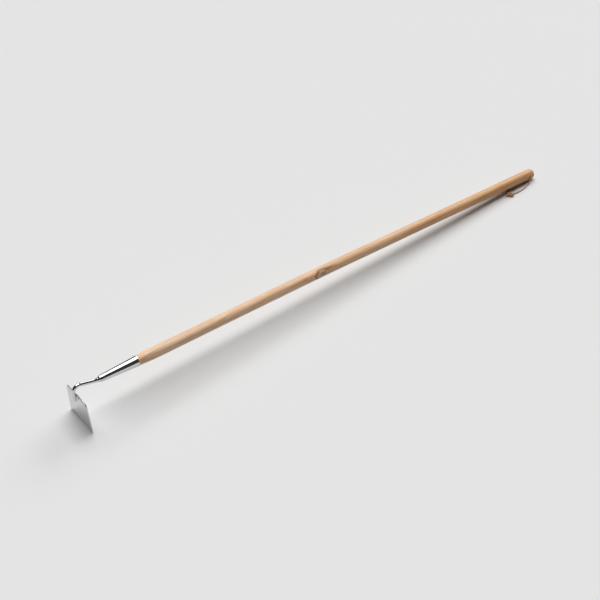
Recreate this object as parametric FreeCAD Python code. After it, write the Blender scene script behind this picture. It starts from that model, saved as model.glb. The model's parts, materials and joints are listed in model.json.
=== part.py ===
import FreeCAD, Part
import math
import os
from FreeCAD import Placement, Rotation, Vector

# Long-handled swan-neck hoe, lying on a floor on its cutting edge and on the top end of its handle.
# +X runs from the blade to the handle's top end, +Z is up, and the tool is symmetric about the XZ plane
# apart from its lace, its pin and the tab on the blade. The origin is the middle of the footprint.

os.makedirs("parts", exist_ok=True)

# ---------------------------------------------------------------- driving dimensions, mm and degrees
OVERALL_LENGTH = 1494.0

BLADE_EDGE_WIDTH = 94.4
BLADE_TOP_WIDTH = 84.0
BLADE_HEIGHT = 89.8
BLADE_THICKNESS = 2.0
BLADE_LEAN = 1.3
BLADE_CORNER = 1.5
SHOULDER_HEIGHT = 89.0
SHOULDER_FALL = 2.2
SHOULDER_RADIUS = 10.0
SHOULDER_CORNER = 1.0
TAB_HALF_WIDTH = 18.0
TAB_OFFSET = -4.0
TAB_TAPER = 0.6
TAB_CROWN = 1.2
TAB_CORNER = 2.2
CROWN_RADIUS = 60.0
NOTCH_WIDTH = 7.0
NOTCH_FLOOR = 84.0
NOTCH_CORNER = 1.8
BEVEL_WIDTH = 7.0
BEVEL_EDGE = 0.4

NECK_DIAMETER = 9.0
NECK_OFFSET = 4.2
NECK_FOOT = 73.0
NECK_CORNER_HEIGHT = 116.5
NECK_BEND = 13.5
NECK_SET = 60.0
NECK_STRAIGHT = 12.0
NECK_ROOT = 18.0

BEAD_HALF_WIDTH = 6.6
BEAD_CREST_HALF_WIDTH = 4.6
BEAD_HEIGHT = 1.8
BEAD_BELOW_FOOT = 3.2
BEAD_TOP = 2.0
BEAD_SINK = 0.2

SOCKET_LENGTH = 92.0
SOCKET_MOUTH_RADIUS = 13.0
SOCKET_END_RADIUS = 8.2
SOCKET_WALL = 1.3
SHOULDER_LENGTH = 9.0
SHOULDER_LIP = 0.6
MOUTH_RIM = 0.5
RING_LENGTH = 3.6
RING_HEIGHT = 2.0

LOWER_SLOPE = 2.8
UPPER_SLOPE = 3.8
BEND_PLACE = 550.0
BEND_RADIUS = 7000.0
BEND_SECTIONS = 5
UPPER_LENGTH = 779.0
TANG_LENGTH = 72.0
GLUE_GAP = 0.1
SHAFT_RADIUS = 13.8
SWELL_RADIUS = 14.15
SWELL_PLACE = 58.0
SWELL_END = 250.0
WOOD_STEP = 0.2
WOOD_MOUTH_RADIUS = 12.1
GRIP_LENGTH = 390.0
TOP_RADIUS = 14.5
TOP_STRAIGHT = 75.0
DOME_CORNER = 10.0
DOME_NOSE = 18.0

HOLE_FROM_TIP = 24.0
HOLE_RADIUS = 3.5
HOLE_CHAMFER = 1.2

PIN_FROM_MOUTH = 30.0
PIN_RADIUS = 1.75
PIN_LENGTH = 18.0
PIN_HEAD_RADIUS = 3.4
PIN_HEAD_HEIGHT = 1.8
PIN_HEAD_SINK = 0.8

LACE_DIAMETER = 3.4
KNOT_LENGTH = 23.0
KNOT_WIDTH = 13.0
KNOT_HEIGHT = 8.0
KNOT_ANGLE = -39.0
KNOT_FROM_HOLE = 91.0
KNOT_TO_SIDE = 23.8

# Share of the shorter run that a rounded corner's arc takes up, and how far a cutting tool runs past.
ARC_SHARE = 0.45
CLEAR = 5.0

Y_AXIS = Vector(0, 1, 0)


# ---------------------------------------------------------------- places that follow from them
def slope_vector(degrees):
    """Unit vector that runs towards +X and down by this slope."""
    a = math.radians(degrees)
    return Vector(math.cos(a), 0, -math.sin(a))


LOWER = slope_vector(LOWER_SLOPE)
UPPER = slope_vector(UPPER_SLOPE)
BEND_TANGENT = BEND_RADIUS * math.tan(math.radians(UPPER_SLOPE - LOWER_SLOPE) / 2)

# The dome is a corner arc and a nose arc that touch, so its depth follows from their radii.
CORNER_CENTRE = TOP_RADIUS - DOME_CORNER
NOSE_CENTRE = -math.sqrt((DOME_NOSE - DOME_CORNER) ** 2 - CORNER_CENTRE**2)
DOME_DEPTH = NOSE_CENTRE + DOME_NOSE

# Where the dome's corner arc is centred, the axis is at this height, so that the handle touches the floor.
AXIS_AT_CORNER = DOME_CORNER + CORNER_CENTRE * math.cos(math.radians(UPPER_SLOPE))
TIP_X = OVERALL_LENGTH / 2
TIP = Vector(TIP_X, 0, AXIS_AT_CORNER) + Vector(0, 0, -DOME_DEPTH * math.sin(math.radians(UPPER_SLOPE)))
HOLE = TIP - UPPER * HOLE_FROM_TIP
BEND_CORNER = TIP - UPPER * UPPER_LENGTH
MOUTH = BEND_CORNER - LOWER * BEND_PLACE
SOCKET_END = MOUTH - LOWER * SOCKET_LENGTH

LEAN = math.radians(BLADE_LEAN)
PLATE_UP = Vector(-math.sin(LEAN), 0, math.cos(LEAN))
PLATE_OUT = Vector(-math.cos(LEAN), 0, -math.sin(LEAN))

# The neck's long side runs down in front of the plate and is the tool's foremost line.
NECK_RADIUS = NECK_DIAMETER / 2
NECK_CORNER_UP = NECK_CORNER_HEIGHT / math.cos(LEAN)
FOREMOST_HEIGHT = 90.0
FOREMOST = PLATE_UP.x * FOREMOST_HEIGHT + PLATE_OUT.x * NECK_OFFSET - NECK_RADIUS
EDGE = Vector(-OVERALL_LENGTH / 2 - FOREMOST, 0, 0)


def on_plate(y, up, out=0.0):
    """Point at this width and height on the plate's outer face, or standing out from it."""
    return EDGE + PLATE_UP * up + PLATE_OUT * out + Vector(0, y, 0)


def along(start, direction):
    """Placement that turns +X to this direction in the XZ plane and moves the origin to start."""
    return Placement(start, Rotation(Vector(1, 0, 0), direction))


# ---------------------------------------------------------------- helpers
def revolve(points_and_arcs, placement):
    """Solid of revolution about +X, from edges in the XZ half plane, then placed."""
    face = Part.Face(Part.Wire(points_and_arcs))
    solid = face.revolve(Vector(0, 0, 0), Vector(1, 0, 0), 360)
    if solid.Volume < 0:
        solid.reverse()
    solid.Placement = placement
    return solid


def line(a, b):
    return Part.LineSegment(Vector(a[0], 0, a[1]), Vector(b[0], 0, b[1])).toShape()


def arc(a, middle, b):
    points = [Vector(p[0], 0, p[1]) for p in (a, middle, b)]
    return Part.Arc(*points).toShape()


def curve(*poles):
    """Bezier edge: tangent at each end to the line between its two end poles."""
    bezier = Part.BezierCurve()
    bezier.setPoles([Vector(p[0], 0, p[1]) for p in poles])
    return bezier.toShape()


def chain(points):
    """Straight edges through (x, radius) points."""
    return [line(a, b) for a, b in zip(points, points[1:])]


def cylinder(start, direction, radius, length):
    return Part.makeCylinder(radius, length, start, direction)


def rounded_route(points, radii):
    """Edges of a route: straight runs joined by tangent arcs."""
    edges = []
    at = points[0]
    for i, radius in enumerate(radii, start=1):
        back = (points[i - 1] - points[i]).normalize()
        on = (points[i + 1] - points[i]).normalize()
        half_turn = (math.pi - back.getAngle(on)) / 2
        tangent = radius * math.tan(half_turn)
        first = points[i] + back * tangent
        last = points[i] + on * tangent
        inward = (back + on).normalize()
        middle = points[i] + inward * (radius / math.cos(half_turn) - radius)
        edges.append(Part.LineSegment(at, first).toShape())
        edges.append(Part.Arc(first, middle, last).toShape())
        at = last
    edges.append(Part.LineSegment(at, points[-1]).toShape())
    return edges


def round_bar(edges, diameter):
    """Round bar along tangent edges."""
    path = Part.Wire(edges)
    start = edges[0].valueAt(edges[0].FirstParameter)
    heading = edges[0].tangentAt(edges[0].FirstParameter)
    ring = Part.Wire(Part.makeCircle(diameter / 2, start, heading))
    solid = path.makePipeShell([ring], True, False)
    if solid.Volume < 0:
        solid.reverse()
    return solid


def lace_tube(name, points):
    """Tube of lace through the route's points, each arc as large as its two runs allow."""
    radii = []
    for a, b, c in zip(points, points[1:], points[2:]):
        run = min((b - a).Length, (c - b).Length)
        half_turn = (math.pi - (a - b).getAngle(c - b)) / 2
        radii.append(ARC_SHARE * run / math.tan(half_turn))
    edges = rounded_route(points, radii)
    length = sum(edge.Length for edge in edges)
    solid = round_bar(edges, LACE_DIAMETER)
    expected = length * math.pi * LACE_DIAMETER**2 / 4
    print(name, "length", round(length, 1), "radii", [round(r, 1) for r in radii])
    print(name, "runs", [round((b - a).Length, 1) for a, b in zip(points, points[1:])])
    print(name, "volume over section x length", round(solid.Volume / expected, 4))
    return solid


# ---------------------------------------------------------------- blade
def make_blade():
    """Flat plate: widening to its cutting edge, with a crowned tab between two notches at the top."""
    half_edge = BLADE_EDGE_WIDTH / 2
    half_top = BLADE_TOP_WIDTH / 2

    def half_outline(side):
        tab = side * TAB_HALF_WIDTH + TAB_OFFSET
        notch_out = tab + side * NOTCH_WIDTH
        return [
            (side * half_edge, 0),
            (side * half_top, SHOULDER_HEIGHT - SHOULDER_FALL),
            (notch_out, SHOULDER_HEIGHT),
            (notch_out, NOTCH_FLOOR),
            (tab, NOTCH_FLOOR),
            (tab - side * TAB_TAPER, BLADE_HEIGHT - TAB_CROWN),
        ]

    radii = [BLADE_CORNER, SHOULDER_RADIUS, SHOULDER_CORNER, NOTCH_CORNER, NOTCH_CORNER, TAB_CORNER]
    crown = [(TAB_OFFSET, BLADE_HEIGHT)]
    outline = [(0, 0)] + half_outline(1) + crown + half_outline(-1)[::-1] + [(0, 0)]
    corners = radii + [CROWN_RADIUS] + radii[::-1]
    points = [on_plate(y, up) for y, up in outline]
    face = Part.Face(Part.Wire(rounded_route(points, corners)))
    plate = face.extrude(PLATE_OUT * -BLADE_THICKNESS)
    side = -half_edge - CLEAR
    bevel = [
        on_plate(side, 0, -BEVEL_EDGE),
        on_plate(side, BEVEL_WIDTH, -BLADE_THICKNESS),
        on_plate(side, BEVEL_WIDTH, -BLADE_THICKNESS - CLEAR),
        on_plate(side, -CLEAR, -BLADE_THICKNESS - CLEAR),
        on_plate(side, -CLEAR, -BEVEL_EDGE),
    ]
    wedge = Part.Face(Part.makePolygon(bevel + bevel[:1])).extrude(Y_AXIS * 2 * -side)
    return plate.cut(wedge)


# ---------------------------------------------------------------- neck and its welds
def make_neck(blade):
    """Round bar: out of the socket, up over the blade's top, and down the middle of its outer face."""
    root = SOCKET_END + LOWER * NECK_ROOT
    leaving = SOCKET_END - LOWER * NECK_STRAIGHT
    corner = on_plate(0, NECK_CORNER_UP, NECK_OFFSET)
    foot = on_plate(0, NECK_FOOT, NECK_OFFSET)
    edges = rounded_route([root, leaving, corner, foot], [NECK_SET, NECK_BEND])
    return round_bar(edges, NECK_DIAMETER).cut(blade)


def slot_wire(half_width, low, high, out):
    """Slot outline on the plate: round at its lower end, square at its upper end."""
    right = on_plate(half_width, low + half_width, out)
    left = on_plate(-half_width, low + half_width, out)
    bottom = on_plate(0, low, out)
    top_right = on_plate(half_width, high, out)
    top_left = on_plate(-half_width, high, out)
    return Part.Wire([
        Part.LineSegment(top_right, right).toShape(),
        Part.Arc(right, bottom, left).toShape(),
        Part.LineSegment(left, top_left).toShape(),
        Part.LineSegment(top_left, top_right).toShape(),
    ])


def make_blade_weld(blade, neck):
    """Fillet bead along both sides of the neck's foot and round its lower end."""
    low = NECK_FOOT - BEAD_BELOW_FOOT
    high = BLADE_HEIGHT - BEAD_TOP
    narrowing = BEAD_HALF_WIDTH - BEAD_CREST_HALF_WIDTH
    base = slot_wire(BEAD_HALF_WIDTH, low, high, -BEAD_SINK)
    crest = slot_wire(BEAD_CREST_HALF_WIDTH, low + narrowing, high - BEAD_TOP, BEAD_HEIGHT)
    return Part.makeLoft([base, crest], True).cut(blade).cut(neck)


def make_neck_weld(socket):
    """Ground ring of weld that fills the corner between the socket's shoulder and the neck."""
    toe = (-SHOULDER_LENGTH - RING_LENGTH, NECK_RADIUS)
    middle = (-SHOULDER_LENGTH - 1.0, NECK_RADIUS + 0.5)
    crest = (-SHOULDER_LENGTH + 1.6, NECK_RADIUS + RING_HEIGHT)
    inside = (-SHOULDER_LENGTH + 2.6, NECK_RADIUS)
    under = (inside[0], NECK_RADIUS + 1.6)
    edges = [line(inside, toe), arc(toe, middle, crest), line(crest, under), line(under, inside)]
    return revolve(edges, along(SOCKET_END, LOWER)).cut(socket)


# ---------------------------------------------------------------- socket and pin
def inner_radius(distance):
    """Socket's inside radius at this distance from its mouth towards the blade."""
    slope = (SOCKET_MOUTH_RADIUS - SOCKET_END_RADIUS) / SOCKET_LENGTH
    return SOCKET_MOUTH_RADIUS - SOCKET_WALL - slope * distance


def make_socket():
    """Hollow cone with a rounded shoulder that closes onto the neck; X = 0 at the shoulder's start."""
    mouth = SOCKET_LENGTH
    shoulder = (0, SOCKET_END_RADIUS)
    round_middle = (-0.6 * SHOULDER_LENGTH, SOCKET_END_RADIUS - 1.0)
    lip = (-SHOULDER_LENGTH, NECK_RADIUS + SHOULDER_LIP)
    cone = chain([
        (mouth, inner_radius(0)),
        (mouth, SOCKET_MOUTH_RADIUS - MOUTH_RIM),
        (mouth - MOUTH_RIM, SOCKET_MOUTH_RADIUS),
        shoulder,
    ])
    inside = chain([
        lip,
        (-SHOULDER_LENGTH, NECK_RADIUS),
        (-SHOULDER_LENGTH + 3.0, NECK_RADIUS),
        (2.0, inner_radius(SOCKET_LENGTH - 2.0)),
        (mouth, inner_radius(0)),
    ])
    return revolve(cone + [arc(shoulder, round_middle, lip)] + inside, along(SOCKET_END, LOWER))


def make_pin(socket):
    """Round-headed pin on the far side, through the socket's wall into the wood."""
    place = MOUTH - LOWER * PIN_FROM_MOUTH
    wall = inner_radius(PIN_FROM_MOUTH) + SOCKET_WALL
    into_head = PIN_HEAD_HEIGHT / 2
    shank = cylinder(place + Y_AXIS * (wall - PIN_LENGTH), Y_AXIS, PIN_RADIUS, PIN_LENGTH + into_head)
    sphere_radius = (PIN_HEAD_RADIUS**2 + PIN_HEAD_HEIGHT**2) / (2 * PIN_HEAD_HEIGHT)
    ball = Part.makeSphere(sphere_radius, place + Y_AXIS * (wall + PIN_HEAD_HEIGHT - sphere_radius))
    seat = cylinder(place + Y_AXIS * (wall - PIN_HEAD_SINK), Y_AXIS, PIN_HEAD_RADIUS, 2 * PIN_HEAD_HEIGHT)
    head = ball.common(seat).cut(socket)
    return shank.fuse(head).removeSplitter()


def pin_bore():
    """Bore for the pin's shank, from its point out through the wood and the socket's wall."""
    place = MOUTH - LOWER * PIN_FROM_MOUTH
    wall = inner_radius(PIN_FROM_MOUTH) + SOCKET_WALL
    return cylinder(place + Y_AXIS * (wall - PIN_LENGTH), Y_AXIS, PIN_RADIUS, PIN_LENGTH + CLEAR)


# ---------------------------------------------------------------- handle
def make_handle():
    """One wooden shaft: taper in the socket, swell above it, slight bow, and a domed top end."""
    bend_start = BEND_PLACE - BEND_TANGENT
    tang = inner_radius(TANG_LENGTH) - GLUE_GAP
    lower = chain([
        (bend_start, 0),
        (-TANG_LENGTH, 0),
        (-TANG_LENGTH, tang),
        (WOOD_STEP, inner_radius(0) - GLUE_GAP),
        (WOOD_STEP, WOOD_MOUTH_RADIUS),
    ])
    rise = (SWELL_PLACE / 2, SWELL_RADIUS)
    lower.append(curve((WOOD_STEP, WOOD_MOUTH_RADIUS), rise, (SWELL_PLACE, SWELL_RADIUS)))
    lower += chain([
        (SWELL_PLACE, SWELL_RADIUS),
        (SWELL_END, SHAFT_RADIUS),
        (bend_start, SHAFT_RADIUS),
        (bend_start, 0),
    ])
    lower_solid = revolve(lower, along(MOUTH, LOWER))

    bend_from = MOUTH + LOWER * bend_start
    across = Vector(-LOWER.z, 0, LOWER.x)
    pivot = bend_from - across * BEND_RADIUS
    sections = []
    for i in range(BEND_SECTIONS):
        slope = LOWER_SLOPE + (UPPER_SLOPE - LOWER_SLOPE) * i / (BEND_SECTIONS - 1)
        heading = slope_vector(slope)
        centre = pivot + Vector(-heading.z, 0, heading.x) * BEND_RADIUS
        sections.append(Part.Wire(Part.makeCircle(SHAFT_RADIUS, centre, heading)))
    bend = Part.makeLoft(sections, True)

    # The upper part is drawn back from the tip: X = 0 at the tip.
    bend_to = -(UPPER_LENGTH - BEND_TANGENT)
    swell_from = bend_to + GRIP_LENGTH
    swell_to = -DOME_DEPTH - TOP_STRAIGHT
    dome_from = -DOME_DEPTH
    nose = dome_from + NOSE_CENTRE
    touch = math.atan2(CORNER_CENTRE, -NOSE_CENTRE)
    touch_point = (nose + DOME_NOSE * math.cos(touch), DOME_NOSE * math.sin(touch))
    corner_middle = (math.pi / 2 + touch) / 2
    corner_point = (
        dome_from + DOME_CORNER * math.cos(corner_middle),
        CORNER_CENTRE + DOME_CORNER * math.sin(corner_middle),
    )
    nose_point = (nose + DOME_NOSE * math.cos(touch / 2), DOME_NOSE * math.sin(touch / 2))
    middle = (swell_from + swell_to) / 2
    upper = chain([(0, 0), (bend_to, 0), (bend_to, SHAFT_RADIUS), (swell_from, SHAFT_RADIUS)])
    upper += [
        curve(
            (swell_from, SHAFT_RADIUS),
            (middle, SHAFT_RADIUS),
            (middle, TOP_RADIUS),
            (swell_to, TOP_RADIUS),
        ),
        line((swell_to, TOP_RADIUS), (dome_from, TOP_RADIUS)),
        arc((dome_from, TOP_RADIUS), corner_point, touch_point),
        arc(touch_point, nose_point, (0, 0)),
    ]
    upper_solid = revolve(upper, along(TIP, UPPER))

    handle = lower_solid.fuse([bend, upper_solid])
    hole = cylinder(HOLE - Y_AXIS * TOP_RADIUS * 2, Y_AXIS, HOLE_RADIUS, TOP_RADIUS * 4)
    handle = handle.cut(hole).cut(pin_bore())
    for side in (1, -1):
        flare = Part.makeCone(
            HOLE_RADIUS,
            HOLE_RADIUS + 2 * HOLE_CHAMFER,
            2 * HOLE_CHAMFER,
            HOLE + Y_AXIS * side * (TOP_RADIUS - HOLE_CHAMFER),
            Y_AXIS * side,
        )
        handle = handle.cut(flare)
    return handle


# ---------------------------------------------------------------- lace
def by_hole(points):
    """Route points given as X from the hole, Y, and height above the floor."""
    return [Vector(HOLE.x + x, y, z) for x, y, z in points]


NEAR_ROUTE = by_hole([
    (0, 0, HOLE.z),
    (0, -8.4, HOLE.z),
    (-2.5, -16.8, HOLE.z - 1.2),
    (-6.5, -18.9, 8.2),
    (-12.5, -20.2, 2.6),
    (-21.0, -22.9, 1.75),
    (-34.0, -26.3, 1.7),
    (-47.5, -28.0, 1.7),
    (-60.5, -28.2, 1.7),
    (-71.0, -27.4, 1.7),
    (-79.5, -26.0, 2.8),
    (-86.5, -24.8, 3.8),
])
FAR_ROUTE = by_hole([
    (0, 0, HOLE.z),
    (0, 8.4, HOLE.z),
    (0, 17.0, HOLE.z - 0.8),
    (-1.5, 20.4, 8.6),
    (-8.5, 20.8, 2.5),
    (-20.0, 19.6, 1.75),
    (-33.0, 16.2, 1.7),
    (-47.0, 10.8, 1.7),
    (-60.5, 5.0, 1.7),
    (-74.5, 0.0, 1.7),
    (-86.5, -5.8, 1.8),
    (-93.0, -13.4, 2.8),
    (-94.5, -20.1, 3.8),
])
FRONT_TAIL = by_hole([
    (-84.5, -21.1, 4.5),
    (-75.2, -15.4, 3.4),
    (-66.0, -12.4, 1.8),
])
BACK_TAIL = by_hole([
    (-88.0, -19.1, 4.5),
    (-82.2, -11.6, 3.0),
    (-74.5, -5.8, 1.75),
])


def make_knot():
    """Outer shape of the overhand knot that ties both strands, lying on the floor."""
    block = Part.makeBox(KNOT_LENGTH, KNOT_WIDTH, KNOT_HEIGHT, Vector(-KNOT_LENGTH / 2, -KNOT_WIDTH / 2, 0))
    knot = block.makeFillet(KNOT_HEIGHT / 2 - 0.3, block.Edges)
    place = Vector(HOLE.x - KNOT_FROM_HOLE, -KNOT_TO_SIDE, 0)
    knot.Placement = Placement(place, Rotation(Vector(0, 0, 1), KNOT_ANGLE))
    return knot


# ---------------------------------------------------------------- parts
def main():
    blade = make_blade()
    neck = make_neck(blade)
    socket = make_socket()
    pin = make_pin(socket)
    knot = make_knot()
    nodes = {
        "blade": blade,
        "neck": neck,
        "blade_weld": make_blade_weld(blade, neck),
        "neck_weld": make_neck_weld(socket).cut(neck),
        "socket": socket.cut(neck).cut(pin_bore()),
        "socket_pin": pin,
        "handle": make_handle(),
        "lace_knot": knot,
        "lace_near": lace_tube("lace_near", NEAR_ROUTE),
        "lace_far": lace_tube("lace_far", FAR_ROUTE),
        "lace_tail_front": lace_tube("lace_tail_front", FRONT_TAIL),
        "lace_tail_back": lace_tube("lace_tail_back", BACK_TAIL),
    }
    for name, shape in nodes.items():
        solids = shape.Solids
        box = shape.BoundBox
        print(name, "solids", len(solids), "valid", shape.isValid(), "volume", round(shape.Volume, 1),
              "x", round(box.XMin, 2), round(box.XMax, 2),
              "y", round(box.YMin, 2), round(box.YMax, 2),
              "z", round(box.ZMin, 3), round(box.ZMax, 2))
        shape.exportStep(f"parts/{name}.step")


main()
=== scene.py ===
import json
import math

import bpy
from mathutils import Matrix, Vector, noise


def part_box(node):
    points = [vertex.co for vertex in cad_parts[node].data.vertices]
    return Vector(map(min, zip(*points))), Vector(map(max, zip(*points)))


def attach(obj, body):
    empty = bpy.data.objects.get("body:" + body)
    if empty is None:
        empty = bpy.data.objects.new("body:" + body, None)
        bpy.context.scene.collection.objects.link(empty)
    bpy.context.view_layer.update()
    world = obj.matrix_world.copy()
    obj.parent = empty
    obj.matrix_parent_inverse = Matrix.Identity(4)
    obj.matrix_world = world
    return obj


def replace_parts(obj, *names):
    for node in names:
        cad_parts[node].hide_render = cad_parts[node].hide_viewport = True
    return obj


# Long-handled swan-neck hoe on a pale studio floor. All lengths are metres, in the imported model's frame.

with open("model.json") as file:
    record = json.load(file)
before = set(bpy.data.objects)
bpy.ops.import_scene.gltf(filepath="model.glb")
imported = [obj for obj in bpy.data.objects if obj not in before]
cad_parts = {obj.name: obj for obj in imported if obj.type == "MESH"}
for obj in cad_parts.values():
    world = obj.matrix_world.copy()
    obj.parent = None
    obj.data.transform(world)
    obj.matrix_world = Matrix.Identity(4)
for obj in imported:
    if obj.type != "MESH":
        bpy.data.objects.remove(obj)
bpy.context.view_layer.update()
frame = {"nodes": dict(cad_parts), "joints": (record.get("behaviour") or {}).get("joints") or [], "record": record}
nodes = frame["nodes"]

# ---------------------------------------------------------------- places read from the frame
MM = 0.001
GRIP = next(m for m in frame["record"]["mounts"] if m["name"] == "shaft_grip")
GRIP_PLACE = Vector(GRIP["pos_m"])
SHAFT = Vector(GRIP["axis"]).normalized()
SHAFT_SLOPE = math.atan2(-SHAFT.z, SHAFT.x)
HOLE = Vector(frame["joints"][0]["pos_m"])
HANDLE_LOW, HANDLE_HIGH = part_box("handle")
HANDLE_HALF_LENGTH = (HANDLE_HIGH.x - HANDLE_LOW.x) / 2
KNOT_LOW, KNOT_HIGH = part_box("lace_knot")

# ---------------------------------------------------------------- camera, floor and light
CAMERA_AZIMUTH = -39.04
CAMERA_ELEVATION = 42.0
CAMERA_DISTANCE = 2.7745
CAMERA_TARGET = Vector((-0.1015, 0.0072, 0.0))
CAMERA_LENS = 66.26

FLOOR_HALF = 60.0
FLOOR_ALBEDO = 0.66

# Two softboxes, as seen from the tool: their reach along X and along Y per metre of height, and brightness.
OVERHEAD_BOX = ((-0.28, 0.62), (-0.12, 1.07), 4.9)
SIDE_BOX = ((1.15, 3.2), (0.0, 1.6), 4.6)
BOX_EDGE = 0.05
BOX_HORIZON = (0.0, 0.05)
LEAST_HEIGHT = 0.001

# The room's brightness, and that of a wall on the +Y side. The wall starts and ends over these parts of a
# direction's Y and Z.
ROOM_STRENGTH = 0.05
WALL_STRENGTH = 0.13
WALL_START = (0.0, 0.8)
WALL_TOP = (0.1, 0.6)


def link(obj):
    bpy.context.scene.collection.objects.link(obj)
    return obj


def make_camera():
    azimuth = math.radians(CAMERA_AZIMUTH)
    elevation = math.radians(CAMERA_ELEVATION)
    level = math.cos(elevation)
    back = Vector((math.sin(azimuth) * level, -math.cos(azimuth) * level, math.sin(elevation)))
    data = bpy.data.cameras.new("camera")
    data.lens = CAMERA_LENS
    camera = link(bpy.data.objects.new("camera", data))
    camera.location = CAMERA_TARGET + back * CAMERA_DISTANCE
    camera.rotation_mode = "QUATERNION"
    camera.rotation_quaternion = (-back).to_track_quat("-Z", "Y")
    bpy.context.scene.camera = camera


class Graph:
    """Short calls that add nodes to a node tree.

    A value may be a number, a tuple or another node's socket.
    """

    # The sockets of a mix node that carry colours.
    MIX_FROM, MIX_TO, MIX_RESULT = 6, 7, 2

    def __init__(self, tree):
        self.tree = tree

    def node(self, kind, **settings):
        made = self.tree.nodes.new(kind)
        for name, value in settings.items():
            setattr(made, name, value)
        return made

    def put(self, socket, value):
        if isinstance(value, bpy.types.NodeSocket):
            self.tree.links.new(value, socket)
        else:
            socket.default_value = value

    def math(self, operation, a, b=0.0):
        made = self.node("ShaderNodeMath", operation=operation)
        self.put(made.inputs[0], a)
        self.put(made.inputs[1], b)
        return made.outputs[0]

    def product(self, first, *others):
        for other in others:
            first = self.math("MULTIPLY", first, other)
        return first

    def vector(self, operation, a, b=(0, 0, 0)):
        made = self.node("ShaderNodeVectorMath", operation=operation)
        self.put(made.inputs[0], a)
        self.put(made.inputs[1], b)
        return made.outputs["Value" if operation == "LENGTH" else "Vector"]

    def smooth(self, value, low, high, start=0.0, end=1.0):
        """start up to low, end from high, and a smooth step between them."""
        made = self.node("ShaderNodeMapRange", interpolation_type="SMOOTHSTEP")
        for socket, number in zip(made.inputs, (value, low, high, start, end)):
            self.put(socket, number)
        return made.outputs[0]

    def fade(self, value, low, high):
        """1 up to low, 0 from high, and a smooth step between them."""
        return self.smooth(value, low, high, 1.0, 0.0)

    def window(self, value, rise, fall):
        """0 up to the rise, 1 from there to the fall and 0 past it. Both are (low, high)."""
        return self.product(self.smooth(value, *rise), self.fade(value, *fall))

    def separate(self, vector):
        made = self.node("ShaderNodeSeparateXYZ")
        self.put(made.inputs[0], vector)
        return made.outputs

    def combine(self, x, y, z):
        made = self.node("ShaderNodeCombineXYZ")
        for socket, value in zip(made.inputs, (x, y, z)):
            self.put(socket, value)
        return made.outputs[0]

    def noise(self, at, per_metre, detail=3.0, rough=0.5):
        """Noise that changes so many times per metre: one number, or one for each axis."""
        made = self.node("ShaderNodeTexNoise")
        if isinstance(per_metre, tuple):
            at = self.vector("MULTIPLY", at, per_metre)
            per_metre = 1.0
        self.put(made.inputs["Vector"], at)
        made.inputs["Scale"].default_value = per_metre
        made.inputs["Detail"].default_value = detail
        made.inputs["Roughness"].default_value = rough
        return made.outputs["Fac"]

    def mix(self, share, a, b, blend="MIX"):
        made = self.node("ShaderNodeMix", data_type="RGBA", blend_type=blend)
        self.put(made.inputs["Factor"], share)
        self.put(made.inputs[self.MIX_FROM], a)
        self.put(made.inputs[self.MIX_TO], b)
        return made.outputs[self.MIX_RESULT]

    def darker(self, share, colour, tint):
        """The colour, and as far as the share goes the colour times the tint."""
        return self.mix(share, colour, self.mix(1.0, colour, tint, "MULTIPLY"))

    def ramp(self, value, *stops):
        """Colour between two (position, colour) stops."""
        made = self.node("ShaderNodeValToRGB")
        for element, (position, colour) in zip(made.color_ramp.elements, stops):
            element.position = position
            element.color = colour
        self.put(made.inputs[0], value)
        return made.outputs[0]

    def bump(self, height, distance, under=None):
        made = self.node("ShaderNodeBump")
        made.inputs["Strength"].default_value = 1.0
        made.inputs["Distance"].default_value = distance
        self.put(made.inputs["Height"], height)
        if under is not None:
            self.put(made.inputs["Normal"], under)
        return made.outputs[0]


def new_material(name, **settings):
    """A material with a principled shader, whose uniform values are set on its own sockets."""
    made = bpy.data.materials.new(name)
    made.use_nodes = True
    shader = made.node_tree.nodes["Principled BSDF"]
    for socket, value in settings.items():
        shader.inputs[socket.replace("_", " ")].default_value = value
    return made, Graph(made.node_tree), shader.inputs


def place(graph):
    """Place in the model's frame, which is the same for every node and piece."""
    return graph.node("ShaderNodeTexCoord").outputs["Object"]


def make_floor():
    half = FLOOR_HALF
    corners = [(-half, -half, 0), (half, -half, 0), (half, half, 0), (-half, half, 0)]
    mesh = bpy.data.meshes.new("floor")
    mesh.from_pydata(corners, [], [(0, 1, 2, 3)])
    floor = link(bpy.data.objects.new("floor", mesh))
    pale = (FLOOR_ALBEDO, FLOOR_ALBEDO, FLOOR_ALBEDO, 1)
    made = new_material("pale_floor", Base_Color=pale, Roughness=0.9, Specular_IOR_Level=0.1)[0]
    mesh.materials.append(made)


def make_light():
    """A large softbox overhead and a lower one past the handle's end, in a dark room with a dim wall."""
    world = bpy.data.worlds.new("studio")
    world.use_nodes = True
    bpy.context.scene.world = world
    graph = Graph(world.node_tree)
    x, y, z = graph.separate(graph.node("ShaderNodeTexCoord").outputs["Generated"])
    height = graph.math("MAXIMUM", z, LEAST_HEIGHT)
    wall = graph.product(graph.smooth(y, *WALL_START), graph.fade(z, *WALL_TOP), WALL_STRENGTH)
    strength = graph.math("ADD", wall, ROOM_STRENGTH)
    for reach_x, reach_y, bright in (OVERHEAD_BOX, SIDE_BOX):
        inside = graph.smooth(z, *BOX_HORIZON)
        for across, (low, high) in ((x, reach_x), (y, reach_y)):
            reach = graph.math("DIVIDE", across, height)
            edges = (low - BOX_EDGE, low + BOX_EDGE), (high - BOX_EDGE, high + BOX_EDGE)
            inside = graph.product(inside, graph.window(reach, *edges))
        strength = graph.math("ADD", strength, graph.product(inside, bright))
    background = world.node_tree.nodes["Background"]
    background.inputs["Color"].default_value = (1, 1, 1, 1)
    graph.put(background.inputs["Strength"], strength)


# ---------------------------------------------------------------- wood
# Noise is given here and below as changes per metre along X, Y and Z (or along all), detail and roughness.
PALE_WOOD = (0.83, 0.62, 0.455, 1)
WARM_SHADED_WOOD = (0.65, 0.395, 0.195, 1)
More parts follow.
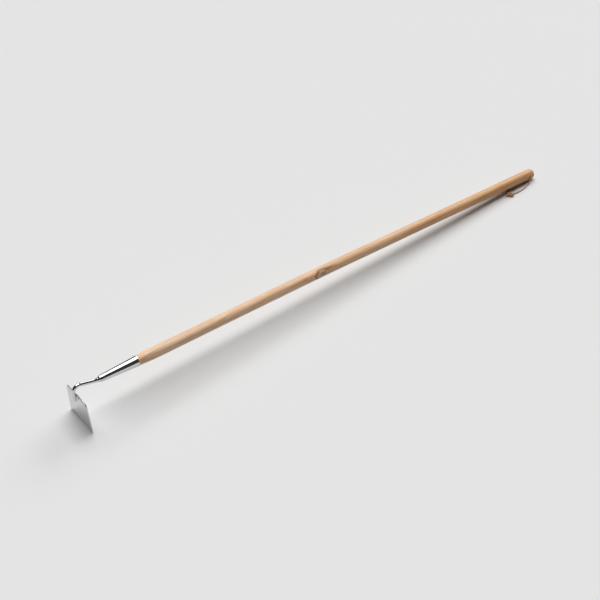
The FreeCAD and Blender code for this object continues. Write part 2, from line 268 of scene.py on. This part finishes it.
# The wood turns warmer toward its top end. It is also painted darker there as painted shade for the light falling
# off along the handle. The change runs between these shares of half the handle's length.
WARMING_AND_FALLOFF = (-0.62, 0.95)

# Growth rings are shells about a pith that lies beside the shaft and wanders a little.
RING_SPACING = 0.0026
PITH_Y, PITH_Z = 0.055, -0.035
PITH_WANDER, WANDER_NOISE = 0.012, ((1.6, 14, 14), 2.0)
RING_DRIFT, DRIFT_NOISE = 0.010, ((2.4, 30, 30), 3.0)
LATE_RISE, LATE_FALL, LATE_SHARE = (0.35, 0.9), (0.93, 1.0), 0.7
LATE_TINT = (0.84, 0.72, 0.58, 1)

# Long streaks, from broad bands down to single pores: noise, the span of it that darkens, and the tint.
BAND_NOISE, BAND_SPAN, BAND_TINT = ((4.0, 110, 110), 4.0, 0.6), (0.34, 0.66), (0.90, 0.81, 0.71, 1)
STREAK_NOISE, STREAK_SPAN, STREAK_TINT = ((11, 700, 700), 4.0, 0.65), (0.35, 0.75), (0.92, 0.86, 0.79, 1)
MOTTLE_NOISE, MOTTLE_SPAN, MOTTLE_TINT = ((22, 60, 60), 3.0, 0.6), (0.40, 0.68), (0.94, 0.89, 0.83, 1)
PORE_NOISE, PORE_SPAN, PORE_TINT = ((60, 2600, 2600), 2.0), (0.58, 0.72), (0.60, 0.47, 0.37, 1)
PORE_SHARE = 0.5

# The small knot in the wood, on the -Y side by the shaft's bend: the place of its middle, how far its axis is
# turned round the shaft, and its ring's radii along and across the shaft.
FIGURE_X = -0.0435
FIGURE_TILT = math.radians(12)
FIGURE_RADII = (0.0215, 0.0113)
FIGURE_SIDE = (-0.0060, 0.0)
FIGURE_WOBBLE, WOBBLE_NOISE = 0.5, (90, 2.0)
# How far the growth rings bulge round it, and at how many radii that ends.
FIGURE_BULGE, BULGE_END = 0.010, 2.6
# Its dark ring, which is weaker on the side of the handle's top end, a trail on that side, and its heart.
KNOT_RING_RISE, KNOT_RING_FALL = (0.70, 1.0), (1.02, 1.40)
KNOT_RING_OPENS, KNOT_RING_REST = (0.10, 0.75), 0.25
KNOT_RING_TINT = (0.52, 0.34, 0.23, 1)
TRAIL_ACROSS = (0.30, 0.65), (0.75, 1.05)
TRAIL_ALONG = (0.1, 0.5), (0.9, 2.4)
TRAIL_TINT = (0.60, 0.45, 0.33, 1)
HEART_SPAN, HEART_TINT = (0.10, 0.75), (0.58, 0.50, 0.52, 1)

WOOD_ROUGHNESS = (0.3, 0.8, 0.34, 0.50)
STREAK_RELIEF, PORE_RELIEF, WOOD_RELIEF = 0.6, -0.5, 0.00012


def wood_material():
    """Ash, sanded and oiled: growth rings cut lengthwise, long pores, soft mottling and one small knot."""
    made, graph, inputs = new_material("ash_wood")
    turned = graph.node("ShaderNodeMapping")
    turned.inputs["Rotation"].default_value = (0, -SHAFT_SLOPE, 0)
    graph.put(turned.inputs["Vector"], graph.vector("SUBTRACT", place(graph), tuple(GRIP_PLACE)))
    along = turned.outputs[0]
    x, y, z = graph.separate(along)

    # Distances from the knot's axis in radii of its ring: along the shaft, across it, and in all.
    beyond = graph.math("DIVIDE", graph.math("ADD", x, GRIP_PLACE.x - FIGURE_X), FIGURE_RADII[0])
    risen = graph.product(z, math.cos(FIGURE_TILT))
    round_shaft = graph.math("ADD", risen, graph.product(y, math.sin(FIGURE_TILT)))
    beside = graph.math("DIVIDE", round_shaft, FIGURE_RADII[1])
    wobble = graph.product(graph.math("ADD", graph.noise(along, *WOBBLE_NOISE), -0.5), FIGURE_WOBBLE)
    apart = graph.math("ADD", graph.vector("LENGTH", graph.combine(beyond, beside, 0.0)), wobble)
    near_side = graph.fade(y, *FIGURE_SIDE)
    bulge = graph.product(graph.smooth(apart, 0.0, BULGE_END, FIGURE_BULGE, 0.0), near_side)

    wander = graph.product(graph.noise(along, *WANDER_NOISE), PITH_WANDER)
    from_pith = graph.math("ADD", graph.math("ADD", y, wander), -PITH_Y)
    shell = graph.combine(0.0, from_pith, graph.math("ADD", z, -PITH_Z))
    drift = graph.product(graph.noise(along, *DRIFT_NOISE), RING_DRIFT)
    radial = graph.math("ADD", graph.vector("LENGTH", shell), graph.math("ADD", drift, bulge))
    rings = graph.math("FRACT", graph.math("DIVIDE", radial, RING_SPACING))
    late = graph.window(rings, LATE_RISE, LATE_FALL)

    bands = graph.noise(along, *BAND_NOISE)
    streaks = graph.noise(along, *STREAK_NOISE)
    mottle = graph.noise(along, *MOTTLE_NOISE)
    pores = graph.smooth(graph.noise(along, *PORE_NOISE), *PORE_SPAN)

    knot_ring = graph.product(
        graph.window(apart, KNOT_RING_RISE, KNOT_RING_FALL),
        graph.smooth(beyond, *KNOT_RING_OPENS, 1.0, KNOT_RING_REST),
        near_side,
    )
    trail = graph.product(
        graph.window(beside, *TRAIL_ACROSS),
        graph.window(beyond, *TRAIL_ALONG),
        near_side,
    )
    heart = graph.product(graph.fade(apart, *HEART_SPAN), near_side)

    warming_and_falloff = [share * HANDLE_HALF_LENGTH for share in WARMING_AND_FALLOFF]
    # Warmer wood toward the top end, and painted darker there as well: painted shade for the light falling off
    # along the handle.
    warmth_and_falloff = graph.smooth(graph.math("ADD", x, GRIP_PLACE.x), *warming_and_falloff)
    colour = graph.mix(warmth_and_falloff, PALE_WOOD, WARM_SHADED_WOOD)
    for share, tint in (
        (graph.smooth(bands, *BAND_SPAN), BAND_TINT),
        (graph.product(late, LATE_SHARE), LATE_TINT),
        (graph.smooth(streaks, *STREAK_SPAN), STREAK_TINT),
        (graph.smooth(mottle, *MOTTLE_SPAN), MOTTLE_TINT),
        (graph.product(pores, PORE_SHARE), PORE_TINT),
        (knot_ring, KNOT_RING_TINT),
        (trail, TRAIL_TINT),
        (heart, HEART_TINT),
    ):
        colour = graph.darker(share, colour, tint)
    graph.put(inputs["Base Color"], colour)
    graph.put(inputs["Roughness"], graph.smooth(streaks, *WOOD_ROUGHNESS))
    relief = graph.math("ADD", graph.product(streaks, STREAK_RELIEF), graph.product(pores, PORE_RELIEF))
    graph.put(inputs["Normal"], graph.bump(relief, WOOD_RELIEF))
    return made


# ---------------------------------------------------------------- steel
# Two ramp stops for a colour, and (from, to, value at from, value at to) for a roughness.
SMEAR_NOISE = ((25, 60, 60), 3.0)
POLISH_NOISE = ((40, 1800, 1800), 3.0, 0.6)
POLISHED_TONES = (0.3, (0.60, 0.60, 0.60, 1)), (0.7, (0.68, 0.68, 0.675, 1))
SMEAR_ROUGHNESS = (0.35, 0.75, 0.04, 0.10)
POLISH_ROUGHNESS = (0.4, 0.8, 0.0, 0.05)
POLISH_RELIEF = 0.000004

GRIND_NOISE = ((300, 1500, 14), 4.0, 0.65)
CLOUD_NOISE = ((30, 40, 30), 3.0)
SCUFF_NOISE, SCUFF_SPAN = ((200, 260, 700), 4.0, 0.7), (0.52, 0.66)
SATIN_TONES = (0.3, (0.60, 0.60, 0.595, 1)), (0.72, (0.67, 0.67, 0.66, 1))
GRIND_SPAN, GRIND_TINT = (0.3, 0.8), (0.90, 0.895, 0.885, 1)
GRIND_ROUGHNESS = (*GRIND_SPAN, 0.12, 0.21)
GRIND_RELIEF, WEAR_RELIEF = 0.00001, 0.00003
# Wear fades out between these heights above the cutting edge.
WEAR_HEIGHTS = (0.002, 0.022)
WEAR_SHARE, WEAR_COLOUR, WEAR_ROUGHNESS = 0.5, (0.42, 0.40, 0.37, 1), 0.18
# The plate's cut top edge, by how far its face looks up. It is rougher, and its colour is painted dark as painted
# shade that dims the softbox's reflection on it.
CUT_SPAN, CUT_PAINTED_SHADE, CUT_ROUGHNESS = (0.35, 0.7), (0.16, 0.155, 0.15, 1), 0.25

RIPPLE_NOISE = ((220, 220, 420), 2.0, 0.4)
BEAD_TONE_NOISE = (260, 3.0)
BEAD_TONES = (0.35, (0.80, 0.78, 0.76, 1)), (0.7, (0.88, 0.86, 0.83, 1))
BEAD_ROUGHNESS = (0.3, 0.8, 0.34, 0.46)
BEAD_RELIEF = 0.00008


def polished_steel():
    """Mirror-polished stainless steel with faint polishing lines along it and a few soft smears."""
    made, graph, inputs = new_material("polished_steel", Metallic=1.0)
    at = place(graph)
    smear = graph.noise(at, *SMEAR_NOISE)
    lines = graph.noise(at, *POLISH_NOISE)
    smeared = graph.smooth(smear, *SMEAR_ROUGHNESS)
    rough = graph.math("ADD", smeared, graph.smooth(lines, *POLISH_ROUGHNESS))
    graph.put(inputs["Base Color"], graph.ramp(smear, *POLISHED_TONES))
    graph.put(inputs["Roughness"], rough)
    graph.put(inputs["Normal"], graph.bump(lines, POLISH_RELIEF))
    return made


def satin_steel():
    """Stainless plate with fine upright grinding lines, light wear near the cutting edge, and a rougher cut edge
    on top. The cut edge is painted darker as painted shade that dims the softbox's reflection there."""
    made, graph, inputs = new_material("satin_steel", Metallic=1.0)
    at = place(graph)
    lines = graph.noise(at, *GRIND_NOISE)
    near_edge = graph.fade(graph.separate(at)["Z"], *WEAR_HEIGHTS)
    wear = graph.product(near_edge, graph.smooth(graph.noise(at, *SCUFF_NOISE), *SCUFF_SPAN))
    facing_up = graph.separate(graph.node("ShaderNodeNewGeometry").outputs["Normal"])["Z"]
    cut_edge = graph.smooth(facing_up, *CUT_SPAN)

    tone = graph.ramp(graph.noise(at, *CLOUD_NOISE), *SATIN_TONES)
    lined = graph.darker(graph.smooth(lines, *GRIND_SPAN), tone, GRIND_TINT)
    worn = graph.mix(graph.product(wear, WEAR_SHARE), lined, WEAR_COLOUR)
    # The up-facing cut edge gets a dark colour: painted shade that dims the softbox's reflection on it.
    graph.put(inputs["Base Color"], graph.mix(cut_edge, worn, CUT_PAINTED_SHADE))

    rough = graph.math("ADD", graph.smooth(lines, *GRIND_ROUGHNESS), graph.product(wear, WEAR_ROUGHNESS))
    rough = graph.math("ADD", rough, graph.product(cut_edge, CUT_ROUGHNESS))
    graph.put(inputs["Roughness"], rough)
    graph.put(inputs["Normal"], graph.bump(lines, GRIND_RELIEF, under=graph.bump(wear, WEAR_RELIEF)))
    return made


def weld_steel():
    """Ground weld bead: steel with soft ripples and warmer patches."""
    made, graph, inputs = new_material("weld_steel", Metallic=1.0)
    at = place(graph)
    ripple = graph.noise(at, *RIPPLE_NOISE)
    graph.put(inputs["Base Color"], graph.ramp(graph.noise(at, *BEAD_TONE_NOISE), *BEAD_TONES))
    graph.put(inputs["Roughness"], graph.smooth(ripple, *BEAD_ROUGHNESS))
    graph.put(inputs["Normal"], graph.bump(ripple, BEAD_RELIEF))
    return made


# ---------------------------------------------------------------- leather
TONE_NOISE = (160, 3.0)
LEATHER_TONES = (0.32, (0.54, 0.27, 0.175, 1)), (0.7, (0.70, 0.39, 0.27, 1))
FIBRE_NOISE = (1500, 3.0, 0.6)
RUBBED_SPAN, RUBBED_COLOUR = (0.55, 0.8), (0.70, 0.40, 0.28, 1)
CRACKS_PER_METRE, CRACK_WIDTH = 2400, 0.22
CRACK_SHARE, CRACK_COLOUR = (0.0, 0.6, 0.55, 0.0), (0.15, 0.055, 0.035, 1)
LEATHER_ROUGHNESS = (0.3, 0.8, 0.42, 0.62)
FIBRE_RELIEF, LEATHER_RELIEF = 0.5, 0.00010


def leather_material():
    """Reddish-brown leather lace: waxed, with a fine crackled grain and paler rubbed spots."""
    made, graph, inputs = new_material("lace_leather")
    at = place(graph)
    crackle = graph.node("ShaderNodeTexVoronoi", feature="DISTANCE_TO_EDGE")
    graph.put(crackle.inputs["Vector"], at)
    crackle.inputs["Scale"].default_value = CRACKS_PER_METRE
    grain = graph.smooth(crackle.outputs["Distance"], 0.0, CRACK_WIDTH)
    fibre = graph.noise(at, *FIBRE_NOISE)
    tone = graph.ramp(graph.noise(at, *TONE_NOISE), *LEATHER_TONES)
    rubbed = graph.mix(graph.smooth(fibre, *RUBBED_SPAN), tone, RUBBED_COLOUR)
    graph.put(inputs["Base Color"], graph.mix(graph.smooth(grain, *CRACK_SHARE), rubbed, CRACK_COLOUR))
    graph.put(inputs["Roughness"], graph.smooth(fibre, *LEATHER_ROUGHNESS))
    relief = graph.math("ADD", grain, graph.product(fibre, FIBRE_RELIEF))
    graph.put(inputs["Normal"], graph.bump(relief, LEATHER_RELIEF))
    return made


def dress(material, *names):
    """Gives CAD nodes this material."""
    for name in names:
        slots = nodes[name].data.materials
        slots.clear()
        slots.append(material)


# ---------------------------------------------------------------- lace
LACE_DIAMETER = 0.0034
LACE_SIDES = 20
LACE_STEPS = 14
# How wide the eased cut ends are, how far the section is uneven and how much slimmer it is for that.
CUT_END = 0.86
UNEVENNESS, UNEVEN_PER_METRE, SLIMMER = 0.07, 420, 0.03


def by_hole(points):
    """Route points given as X from the hole, Y, and height above the floor."""
    return [Vector((HOLE.x + x, y, z)) for x, y, z in points]


NEAR_ROUTE = by_hole([
    (0, 0, HOLE.z),
    (0, -0.0084, HOLE.z),
    (-0.0025, -0.0168, HOLE.z - 0.0012),
    (-0.0065, -0.0189, 0.0082),
    (-0.0125, -0.0202, 0.0026),
    (-0.0210, -0.0229, 0.00175),
    (-0.0340, -0.0263, 0.0017),
    (-0.0475, -0.0280, 0.0017),
    (-0.0605, -0.0282, 0.0017),
    (-0.0710, -0.0274, 0.0017),
    (-0.0795, -0.0260, 0.0028),
    (-0.0865, -0.0248, 0.0038),
])
FAR_ROUTE = by_hole([
    (0, 0, HOLE.z),
    (0, 0.0084, HOLE.z),
    (0, 0.0170, HOLE.z - 0.0008),
    (-0.0015, 0.0204, 0.0086),
    (-0.0085, 0.0208, 0.0025),
    (-0.0200, 0.0196, 0.00175),
    (-0.0330, 0.0162, 0.0017),
    (-0.0470, 0.0108, 0.0017),
    (-0.0605, 0.0050, 0.0017),
    (-0.0745, 0.0000, 0.0017),
    (-0.0865, -0.0058, 0.0018),
    (-0.0930, -0.0134, 0.0028),
    (-0.0945, -0.0201, 0.0038),
])
FRONT_TAIL = by_hole([
    (-0.0845, -0.0211, 0.0045),
    (-0.0752, -0.0154, 0.0034),
    (-0.0660, -0.0124, 0.0018),
])
BACK_TAIL = by_hole([
    (-0.0880, -0.0191, 0.0045),
    (-0.0822, -0.0116, 0.0030),
    (-0.0745, -0.0058, 0.00175),
])

# The knot's long axis lies at this angle on the floor. Its strands are given in mm, along, across and up,
# and then grown.
KNOT_TURN = Matrix.Rotation(math.radians(-39.0), 3, "Z")
KNOT_GROWTH = 1.12
KNOT_CENTRE = Vector(((KNOT_LOW.x + KNOT_HIGH.x) / 2, (KNOT_LOW.y + KNOT_HIGH.y) / 2, 0))
NEAR_WRAP = [
    (4.1, 2.0, 3.8), (0.5, 0.6, 3.8), (-3.0, 0.2, 3.6), (-5.2, 2.0, 4.0),
    (-4.2, 4.4, 5.2), (-1.0, 3.4, 6.3), (2.6, 0.8, 6.5), (6.0, -1.4, 6.4),
    (8.4, -3.6, 5.0), (6.8, -5.8, 3.2), (2.6, -6.2, 2.2), (-1.4, -6.4, 2.1),
    (-3.2, -4.0, 1.8), (-0.6, 0.4, 1.7), (4.0, 4.4, 2.6), (4.4, 6.4, 4.0),
]
FAR_WRAP = [
    (-5.0, 0.7, 3.8), (-2.0, -0.8, 3.2), (1.0, -1.8, 2.8), (3.6, -3.4, 2.6),
    (4.3, -5.0, 4.0), (2.2, -5.0, 5.6), (-1.6, -3.8, 6.2), (-5.0, -3.2, 6.0),
    (-8.2, -3.4, 4.8), (-9.0, -4.8, 3.0), (-6.6, -6.0, 2.2), (-5.0, -3.2, 1.8),
    (-6.4, 1.0, 1.8), (-6.6, 4.4, 2.2), (-4.6, 6.4, 3.6), (-2.4, 6.2, 4.6),
]


def in_knot(points):
    return [KNOT_CENTRE + KNOT_TURN @ (Vector(p) * MM * KNOT_GROWTH) for p in points]


def smooth_line(route):
    """Points along the smooth line that has the route's points as its control points."""
    data = bpy.data.curves.new("line", "CURVE")
    data.dimensions = "3D"
    data.resolution_u = LACE_STEPS
    spline = data.splines.new("NURBS")
    spline.points.add(len(route) - 1)
    for point, at in zip(spline.points, route):
        point.co = (*at, 1)
    spline.order_u = 3
    spline.use_endpoint_u = True
    holder = bpy.data.objects.new("line", data)
    mesh = bpy.data.meshes.new_from_object(holder)
    line = [v.co.copy() for v in mesh.vertices]
    bpy.data.objects.remove(holder)
    bpy.data.meshes.remove(mesh)
    return line


def tube(line, seed):
    """Vertices and faces of a lace along a line: a slightly uneven round section, with eased cut ends."""
    radius = LACE_DIAMETER / 2
    last = len(line) - 1
    middle = [(i, 1.0) for i in range(1, last)]
    stations = [(0, 0.0), (0, CUT_END)] + middle + [(last, CUT_END), (last, 0.0)]
    vertices, rings = [], []
    side = (line[1] - line[0]).orthogonal()
    for i, share in stations:
        centre = line[i]
        heading = (line[min(i + 1, last)] - line[max(i - 1, 0)]).normalized()
        side = (side - heading * side.dot(heading)).normalized()
        other = heading.cross(side)
        if share == 0.0:
            rings.append([len(vertices)])
            vertices.append(centre)
            continue
        ring = []
        for k in range(LACE_SIDES):
            angle = 2 * math.pi * k / LACE_SIDES
            out = side * math.cos(angle) + other * math.sin(angle)
            rough = noise.noise((centre + out * radius) * UNEVEN_PER_METRE + Vector((seed, 0, 0)))
            ring.append(len(vertices))
            vertices.append(centre + out * radius * share * (1 + UNEVENNESS * rough - SLIMMER))
        rings.append(ring)
    faces = []
    for a, b in zip(rings, rings[1:]):
        for k in range(LACE_SIDES):
            on = (k + 1) % LACE_SIDES
            if len(a) == 1:
                faces.append((a[0], b[on], b[k]))
            elif len(b) == 1:
                faces.append((a[k], a[on], b[0]))
            else:
                faces.append((a[k], a[on], b[on], b[k]))
    return vertices, faces


def lace_piece(name, lines, material):
    """One mesh of a lace along each of the lines."""
    vertices, faces = [], []
    for seed, line in enumerate(lines):
        more_vertices, more_faces = tube(line, seed)
        first = len(vertices)
        vertices += more_vertices
        faces += [tuple(first + i for i in face) for face in more_faces]
    mesh = bpy.data.meshes.new(name)
    mesh.from_pydata(vertices, [], faces)
    mesh.shade_smooth()
    mesh.materials.append(material)
    piece = link(bpy.data.objects.new(name, mesh))
    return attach(piece, "hang_loop")


def make_lace(material):
    near_line = smooth_line(NEAR_ROUTE)
    far_line = smooth_line(FAR_ROUTE)
    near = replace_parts(lace_piece("lace_near_strand", [near_line], material), "lace_near")
    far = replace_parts(lace_piece("lace_far_strand", [far_line], material), "lace_far")
    strands = [smooth_line(in_knot(NEAR_WRAP) + FRONT_TAIL), smooth_line(in_knot(FAR_WRAP) + BACK_TAIL)]
    knot = lace_piece("overhand_knot", strands, material)
    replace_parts(knot, "lace_knot", "lace_tail_front", "lace_tail_back")


# ---------------------------------------------------------------- scene
make_camera()
make_floor()
make_light()
bpy.context.scene.view_settings.view_transform = "Standard"

dress(wood_material(), "handle")
dress(polished_steel(), "socket", "neck", "neck_weld")
dress(satin_steel(), "blade", "socket_pin")
dress(weld_steel(), "blade_weld")
make_lace(leather_material())

bpy.context.view_layer.update()
